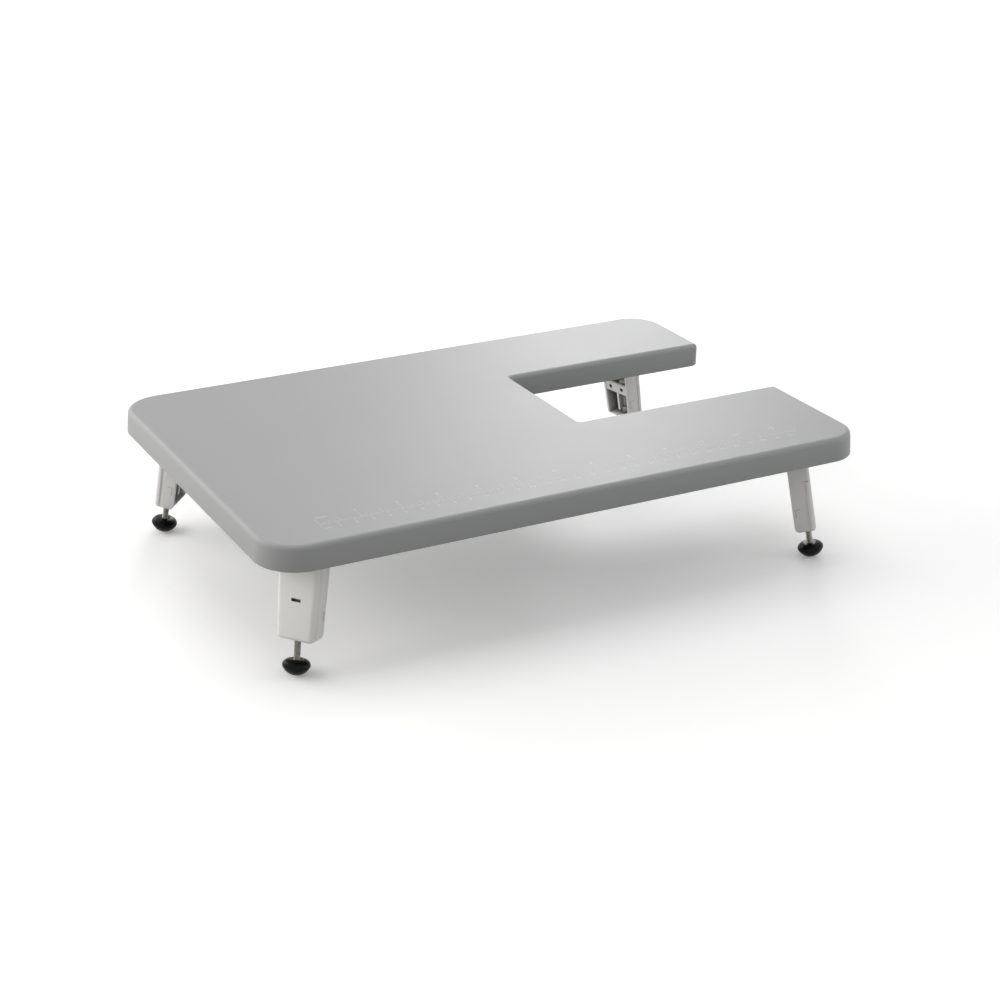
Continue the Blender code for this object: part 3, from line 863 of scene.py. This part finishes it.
def end_corner():
    """A cutter that rounds the inner end corners of a leg's cheeks."""
    leg = settings().leg
    edge, end = leg_faces()[1:]
    radius = leg.end_round
    side = [(edge - radius, end - CUT), (edge + CUT, end - CUT), (edge + CUT, end + radius)]
    for i in range(END_STEPS + 1):
        angle = pi / 2 * i / END_STEPS
        side.append((edge - radius * (1 - cos(angle)), end + radius * (1 - sin(angle))))
    bm = bmesh.new()
    half = leg.width_top / 2 + CUT
    loft(bm, [[Vector((x, y, z)) for y, z in side] for x in (-half, half)])
    return to_object("end_corner", closed("end_corner", bm))


def cheek_cut(name, side, across, along, depth, slope=0.0):
    """A shallow cutter on one cheek of a leg, following its taper. Its long walls may slope."""
    cutter = block(name, (-1.0, across[0], along[0]), (1.0, across[1], along[1]))
    middle = sum(across) / 2
    for vert in cutter.data.vertices:
        outwards = vert.co.x > 0
        spread = slope * CUT / depth if outwards else -slope
        vert.co.y += spread if vert.co.y > middle else -spread
        vert.co.x = side * (half_width(vert.co.z) + (CUT if outwards else -depth))
    if side < 0:
        cutter.data.flip_normals()
    return cutter


def cheek_cuts(side):
    """The long groove and the hooked mark on one cheek, and on the left one the groove's step."""
    face, edge, end = leg_faces()
    groove = face + GROOVE["from_face"]
    high = edge - MARK["from_edge"]
    up = end + MARK["up"]
    top = end + GROOVE["step_up"] if side < 0 else -GROOVE["below_pin"]
    yield cheek_cut(f"groove_{side}", side, (groove, groove + GROOVE["width"]),
                    (end - CUT, top), GROOVE["depth"], GROOVE["slope"])
    if side < 0:
        yield cheek_cut("groove_step", side, (face - CUT, groove + GROOVE["width"] / 2),
                        (top - GROOVE["step"], top - HAIR), GROOVE["step_depth"])
    yield cheek_cut(f"mark_{side}", side, (high - MARK["length"], high), (up, up + MARK["width"]),
                    MARK["depth"])
    yield cheek_cut(f"hook_{side}", side, (high - 2 * MARK["width"], high - MARK["width"]),
                    (up - MARK["drop"], up + MARK["width"] / 2), MARK["hook_depth"])


def leg_mesh():
    """One channel leg, open on its inner side, round its hinge pin."""
    leg = settings().leg
    face, edge, end = leg_faces()
    stud_y = -leg.stud_offset
    work = Workpiece(leg_body())
    work.cut(end_corner())
    work.cut(block("hollow", (-THIN, face + leg.wall, end + leg.floor),
                   (THIN, edge + CUT, edge + CUT), lambda z: half_width(z) - leg.wall))
    band_low = end + BAND["up"]
    band_high = band_low + BAND["height"]
    work.join(block("band", (-THIN, edge - BAND["wall"] - STOP_GAP, band_low),
                    (THIN, edge - STOP_GAP, band_high), lambda z: half_width(z) - leg.wall / 2))
    work.soften(LEG_BREAK)
    sunk = end + leg.floor / 2
    boss_top = end + NUT_BOSS["height"]
    work.join(rod("nut_boss", NUT_BOSS["diameter"] / 2, sunk, boss_top, (0, stud_y, 0)))
    column_top = end + SLOT["up"] + SLOT["height"] / 2 + leg.wall
    work.join(rod("stud_column", COLUMN["diameter"] / 2, sunk, column_top, (0, stud_y, 0)))
    work.join(block("centre_rib", (-RIB_WALL / 2, stud_y, boss_top - leg.floor / 2),
                    (RIB_WALL / 2, edge - BAND["wall"] / 2 - STOP_GAP,
                     band_low + BAND["height"] / 3)))
    slot_up = end + SLOT["up"]
    # A wall behind the face slot makes it a shallow recess, which the painted shade in the legs'
    # finish turns dark.
    work.join(block("slot_back", (-SLOT["back"], face + leg.wall / 2, slot_up - leg.wall),
                    (SLOT["back"], stud_y, slot_up + leg.wall)))
    foot = settings().foot
    work.cut(rod("stud_bore", foot.stud / 2 + STUD_GAP, end - CUT, end + COLUMN["bore"],
                 (0, stud_y, 0)))
    half = NUT["flats"] / 2 + SEAT_GAP
    reach = NUT["flats"] / 2 / cos(pi / 6) + SEAT_GAP
    work.cut(block("nut_pocket", (-half, stud_y - reach, end + NUT["up"] - SEAT_GAP),
                   (half, edge + CUT, end + NUT["up"] + NUT["height"] + SEAT_GAP)))
    work.cut(block("face_slot", (-SLOT["length"] / 2, face - CUT, slot_up - SLOT["height"] / 2),
                   (SLOT["length"] / 2, face + leg.wall + CUT / 4, slot_up + SLOT["height"] / 2)))
    across = leg.width_top / 2 + CUT
    work.cut(rod("pin_hole", settings().hinge.pin / 2 + PIN_GAP, -across, across, along="X"))
    for side in (-1, 1):
        x = side * BAND["spacing"] / 2
        middle = (band_low + band_high) / 2
        window = BAND["window"] / 2
        work.cut(block(f"window_{side}", (x - window, edge - 2 * BAND["wall"], middle - window),
                       (x + window, edge + CUT, middle + window)))
        for cutter in cheek_cuts(side):
            work.cut(cutter)
    return work.settle("channel_leg")


class TABLE_OT_legs(bpy.types.Operator):
    """Build the four channel legs"""

    bl_idname = "extension_table.legs"
    bl_label = "Legs"

    def execute(self, context):
        leg = leg_mesh()
        for corner, side in CORNERS.items():
            made = placed(f"channel_leg_{corner}", leg, corner_frames(corner)[1])
            dress(made, leg_abs(), f"{side}_leg", "leg_plastic", f"leg_{corner}")
        return {"FINISHED"}


# Screw feet

THREAD_DEPTH = 0.00036
THREAD_STEPS = 10
THREAD_SEGMENTS = 32
THREAD_FLANK = 1.6
THREAD_ROOT = 0.25
THREAD_SMOOTH = radians(60)
STUD_SEAT = 0.0007
STUD_CHAMFER = 0.0004
SHOULDER_STEPS = 15
DOME_STEPS = 20
PAD_SEGMENTS = 64
NUT_SEGMENTS = 48
NUT_WAIST = (-0.16, -0.17)


def stud_mesh():
    """The stud, with a right-hand thread from end to end. Heights count from the pad's rim."""
    foot = settings().foot
    low = -STUD_SEAT
    high = foot.shoulder + foot.show + foot.stud_in_leg
    radius = foot.stud / 2
    rows = int((high - low) / foot.pitch * THREAD_STEPS)
    rings = []
    for row in range(rows + 1):
        z = low + (high - low) * row / rows
        limit = radius - STUD_CHAMFER + min(high - z, STUD_CHAMFER)
        ring = []
        for i in range(THREAD_SEGMENTS):
            angle = 2 * pi * i / THREAD_SEGMENTS
            phase = (z / foot.pitch - angle / (2 * pi)) % 1.0
            crest = min(1.0, max(0.0, abs(2 * phase - 1) * THREAD_FLANK - THREAD_ROOT))
            r = min(limit, radius - THREAD_DEPTH * (1 - crest))
            ring.append(Vector((r * cos(angle), r * sin(angle), z)))
        rings.append(ring)
    bm = bmesh.new()
    loft(bm, rings)
    return closed("threaded_stud", bm, THREAD_SMOOTH)


def pad_mesh():
    """The domed foot round its stud. Heights count from its rim."""
    foot = settings().foot
    hole = foot.stud / 2 + STUD_GAP
    floor = -STUD_SEAT - STUD_GAP
    collar = foot.collar / 2
    radius = foot.pad / 2
    dome = (radius ** 2 + foot.dome ** 2) / (2 * foot.dome)
    profile = [(0, floor), (hole, floor), (hole, foot.shoulder - EDGE_BREAK / 2),
               (hole + EDGE_BREAK / 2, foot.shoulder), (collar - EDGE_BREAK, foot.shoulder)]
    for i in range(SHOULDER_STEPS):
        angle = pi / 2 * i / SHOULDER_STEPS
        profile.append((collar + (radius - collar) * sin(angle), foot.shoulder * cos(angle)))
    centre = dome - foot.dome
    start = atan2(-centre, radius)
    for i in range(DOME_STEPS):
        angle = start + (-pi / 2 - start) * i / DOME_STEPS
        profile.append((dome * cos(angle), centre + dome * sin(angle)))
    profile.append((0, centre - dome))
    bm = bmesh.new()
    lathe(bm, profile, PAD_SEGMENTS)
    return closed("domed_pad", bm)


def nut_mesh():
    """A hexagon nut with its corners chamfered, two flats across X."""
    radius = NUT["flats"] / 2 / cos(pi / 6)
    half = NUT["height"] / 2
    bm = bmesh.new()
    bmesh.ops.create_cone(bm, cap_ends=True, segments=6, radius1=radius, radius2=radius,
                          depth=NUT["height"])
    if max(vert.co.x for vert in bm.verts) > max(vert.co.y for vert in bm.verts):
        bmesh.ops.rotate(bm, verts=bm.verts, matrix=Matrix.Rotation(pi / 6, 3, "Z"))
    work = Workpiece(to_object("nut", closed("nut", bm)))
    bm = bmesh.new()
    wide = NUT["flats"] / 2
    waist = [(wide + 2 * half, half * share) for share in NUT_WAIST]
    lathe(bm, [(0, half), (wide, half), *waist, (wide, -half), (0, -half)], NUT_SEGMENTS)
    work.combine(to_object("chamfer", closed("chamfer", bm)), "INTERSECT")
    work.cut(rod("nut_bore", settings().foot.stud / 2 + STUD_GAP, -half - CUT, half + CUT))
    return work.settle("hexagon_nut")


class TABLE_OT_feet(bpy.types.Operator):
    """Build the studs, nuts and pads of the four screw feet"""

    bl_idname = "extension_table.feet"
    bl_label = "Screw feet"

    def execute(self, context):
        stud, pad, nut = stud_mesh(), pad_mesh(), nut_mesh()
        lift = leg_faces()[2] + NUT["up"] + NUT["height"] / 2
        for corner, side in CORNERS.items():
            place = foot_frame(corner)
            made = placed(f"threaded_stud_{corner}", stud, place)
            dress(made, zinc_plate(), f"{side}_stud", "stud_steel", f"foot_stud_{corner}")
            made = placed(f"domed_pad_{corner}", pad, place)
            dress(made, pad_plastic(), f"{side}_foot", "foot_plastic", f"foot_pad_{corner}")
            away = Matrix.Translation((0, -settings().leg.stud_offset, lift))
            made = placed(f"hexagon_nut_{corner}", nut, corner_frames(corner)[1] @ away)
            dress(made, zinc_plate(), f"{side}_leg", "nut_steel", f"foot_nut_{corner}")
        return {"FINISHED"}


# Stage

CAMERA_TURN = -0.4875798
CAMERA_TILT = 0.4064180
CAMERA_ROLL = 0.0076029
CAMERA_PLACE = (-0.556634, -1.071276, 0.549455)
CAMERA_LENS = 74.5875
CAMERA_SENSOR = 36.0
FLOOR_HALF = 12.0
FLOOR_DROP = 0.0002
FLOOR_ROUGHNESS = 0.9
FLOOR_SEEN = "#FFFFFF"
FLOOR_LIT = "#ACACAC"
FLOOR_LIFT = 0.18
FLOOR_NEAR = 0.5
FLOOR_FAR = 3.0
SKY = 0.46
WARM = "#FFFDF9"
WHITE = "#FFFFFF"
# The key lights the left side, and isn't mirrored, because it would glare on the top in low views.
# The glint is only mirrored: it draws the light line along the left edge.
LAMPS = {
    "key": {"place": (-1.48, 0.84, 0.66), "aim": (0, 0, 0.05), "size": (2.2, 1.2), "power": 24.5,
            "tint": WARM, "lights": True, "mirrored": False},
    "above": {"place": (0.0, 0.4, 2.6), "aim": (0, 0, 0.05), "size": (2.0, 2.0), "power": 16.5,
              "tint": WHITE, "lights": True, "mirrored": True},
    "glint": {"place": (-0.8, 1.8, 1.05), "aim": (-0.1, 0, 0.08), "size": (1.6, 1.2),
              "power": 12.0, "tint": WHITE, "lights": False, "mirrored": True},
    "strip": {"place": (1.28, 2.03, 1.05), "aim": (0, 0, 0.08), "size": (0.42, 1.1), "power": 10.4,
              "tint": WHITE, "lights": True, "mirrored": True},
    "right": {"place": (1.69, -0.98, 0.42), "aim": (0, 0, 0.04), "size": (0.8, 0.8), "power": 4.7,
              "tint": WHITE, "lights": True, "mirrored": True},
}


def add_camera():
    """The camera at the angle that shows the left and front of the table from above."""
    flat = cos(CAMERA_TILT)
    back = Vector((sin(CAMERA_TURN) * flat, -cos(CAMERA_TURN) * flat, sin(CAMERA_TILT)))
    level = Vector((0, 0, 1)).cross(back).normalized()
    above = back.cross(level)
    right = cos(CAMERA_ROLL) * level + sin(CAMERA_ROLL) * above
    up = cos(CAMERA_ROLL) * above - sin(CAMERA_ROLL) * level
    lens = bpy.data.cameras.new("camera")
    lens.lens = CAMERA_LENS
    lens.sensor_width = CAMERA_SENSOR
    made = to_object("camera", lens)
    turn = Matrix((right, up, back)).transposed().to_4x4()
    made.matrix_world = Matrix.Translation(CAMERA_PLACE) @ turn
    bpy.context.scene.camera = made


def add_lamp(name, place, aim, size, power, tint, lights, mirrored):
    """A soft box that points at the table: it lights the pieces, is mirrored in them, or both."""
    light = bpy.data.lights.new(name, "AREA")
    light.shape = "RECTANGLE"
    light.size, light.size_y = size
    light.energy = power
    light.color = linear(tint)
    made = to_object(name, light)
    made.location = place
    made.rotation_mode = "QUATERNION"
    made.rotation_quaternion = (Vector(aim) - Vector(place)).to_track_quat("-Z", "Y")
    made.visible_camera = False
    made.visible_diffuse = lights
    made.visible_glossy = mirrored


def background_rays(tree):
    """One where a ray shows the background: straight to the camera, mirrored, or through glass."""
    rays = add(tree, "ShaderNodeLightPath").outputs
    seen = rays["Is Camera Ray"]
    for name in ("Is Glossy Ray", "Is Transmission Ray"):
        seen = add(tree, "ShaderNodeMath", {0: seen, 1: rays[name]}, operation="MAXIMUM").outputs[0]
    return seen


def floor_paper():
    """White background paper."""
    # Matt paper that takes a soft shadow: white to the eye, and darker to the light that it sends
    # back up, as a large dim room would be.
    made = bpy.data.materials.new("white_background_paper")
    made.use_nodes = True
    tree = made.node_tree
    shader = tree.nodes["Principled BSDF"]
    shader.inputs["Roughness"].default_value = FLOOR_ROUGHNESS
    shader.inputs["Specular IOR Level"].default_value = 0.0
    seen = background_rays(tree)
    tones = add(tree, "ShaderNodeValToRGB", {"Fac": seen})
    for stop, code in zip(tones.color_ramp.elements, (FLOOR_LIT, FLOOR_SEEN)):
        stop.color = (*linear(code), 1.0)
    tree.links.new(tones.outputs["Color"], shader.inputs["Base Color"])
    place = add(tree, "ShaderNodeTexCoord").outputs["Object"]
    away = add(tree, "ShaderNodeVectorMath", {0: place}, operation="LENGTH").outputs["Value"]
    glow = add(tree, "ShaderNodeMapRange", {"Value": away, "From Min": FLOOR_NEAR,
                                            "From Max": FLOOR_FAR, "To Min": FLOOR_LIFT,
                                            "To Max": 1.0})
    lift = add(tree, "ShaderNodeMath", {0: seen, 1: glow.outputs["Result"]}, operation="MULTIPLY")
    tree.links.new(lift.outputs[0], shader.inputs["Emission Strength"])
    shader.inputs["Emission Color"].default_value = (1.0, 1.0, 1.0, 1.0)
    return made


def pale_world():
    """Even soft light from all round, and white where the camera sees past the floor."""
    made = bpy.data.worlds.new("pale_studio")
    made.use_nodes = True
    tree = made.node_tree
    background = tree.nodes["Background"]
    background.inputs["Color"].default_value = (1.0, 1.0, 1.0, 1.0)
    strength = add(tree, "ShaderNodeMapRange",
                   {"Value": background_rays(tree), "To Min": SKY, "To Max": 1.0})
    tree.links.new(strength.outputs["Result"], background.inputs["Strength"])
    bpy.context.scene.world = made


class TABLE_OT_stage(bpy.types.Operator):
    """Lay the floor and set the lamps and the camera"""

    bl_idname = "extension_table.stage"
    bl_label = "Stage"

    def execute(self, context):
        bm = bmesh.new()
        bmesh.ops.create_grid(bm, x_segments=1, y_segments=1, size=FLOOR_HALF)
        mesh = bpy.data.meshes.new("floor")
        bm.to_mesh(mesh)
        bm.free()
        floor = to_object("floor", mesh)
        floor.location.z = -FLOOR_DROP
        mesh.materials.append(floor_paper())
        for name, lamp in LAMPS.items():
            add_lamp(name, **lamp)
        pale_world()
        add_camera()
        context.scene.view_settings.view_transform = "Standard"
        return {"FINISHED"}


class TABLE_PT_panel(bpy.types.Panel):
    """Lists the steps that build the table"""

    bl_idname = "TABLE_PT_panel"
    bl_label = "Extension table"
    bl_space_type = "VIEW_3D"
    bl_region_type = "UI"
    bl_category = "Extension table"

    def draw(self, context):
        for step in STEPS:
            self.layout.operator(step.bl_idname)


STEPS = (TABLE_OT_stage, TABLE_OT_top, TABLE_OT_ruler, TABLE_OT_hinges, TABLE_OT_legs,
         TABLE_OT_feet)
GROUPS = (TopSizes, HingeSizes, LegSizes, FootSizes, RulerSizes, Finishes, TableSettings)
CLASSES = (*GROUPS, *STEPS, TABLE_PT_panel)


def register():
    """Register the settings, the steps and the panel."""
    for item in CLASSES:
        bpy.utils.register_class(item)
    bpy.types.Scene.extension_table = PointerProperty(type=TableSettings)


def unregister():
    """Take everything out again."""
    del bpy.types.Scene.extension_table
    for item in reversed(CLASSES):
        bpy.utils.unregister_class(item)


def main():
    """Build the table step by step."""
    register()
    for step in STEPS:
        getattr(bpy.ops.extension_table, step.bl_idname.split(".")[1])()


if __name__ == "__main__":
    main()
